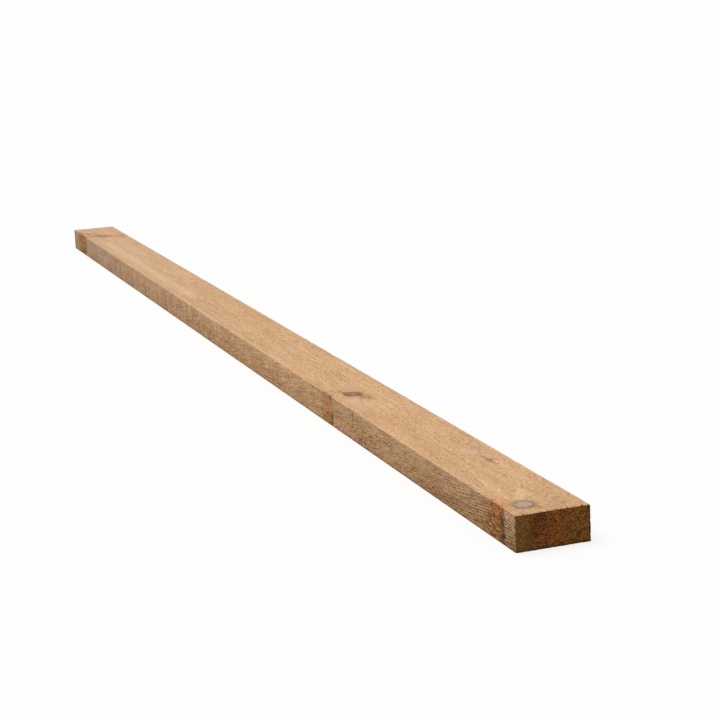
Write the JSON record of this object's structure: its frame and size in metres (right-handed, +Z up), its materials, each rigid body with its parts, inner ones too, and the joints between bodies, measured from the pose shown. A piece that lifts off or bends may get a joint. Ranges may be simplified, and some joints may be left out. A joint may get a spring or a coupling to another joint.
{
  "type": "timber stud",
  "caption": "Straight length of rough-sawn, brown-treated softwood with a rectangular section and square-cut ends, for framing walls.",
  "frame": {"origin": "middle of the underside, which is a wide face", "axes": "+X along the length towards the end that the picture shows, +Y across the width, +Z up through the thickness"},
  "size_m": [2.7, 0.1, 0.047],
  "materials": {
    "sawn_timber": "rough-sawn softwood with a brown preservative tint, dry and matt, partly greyed, with knots in whorls"
  },
  "bodies": {
    "root": {"stud": "sawn_timber"}
  },
  "joints": []
}
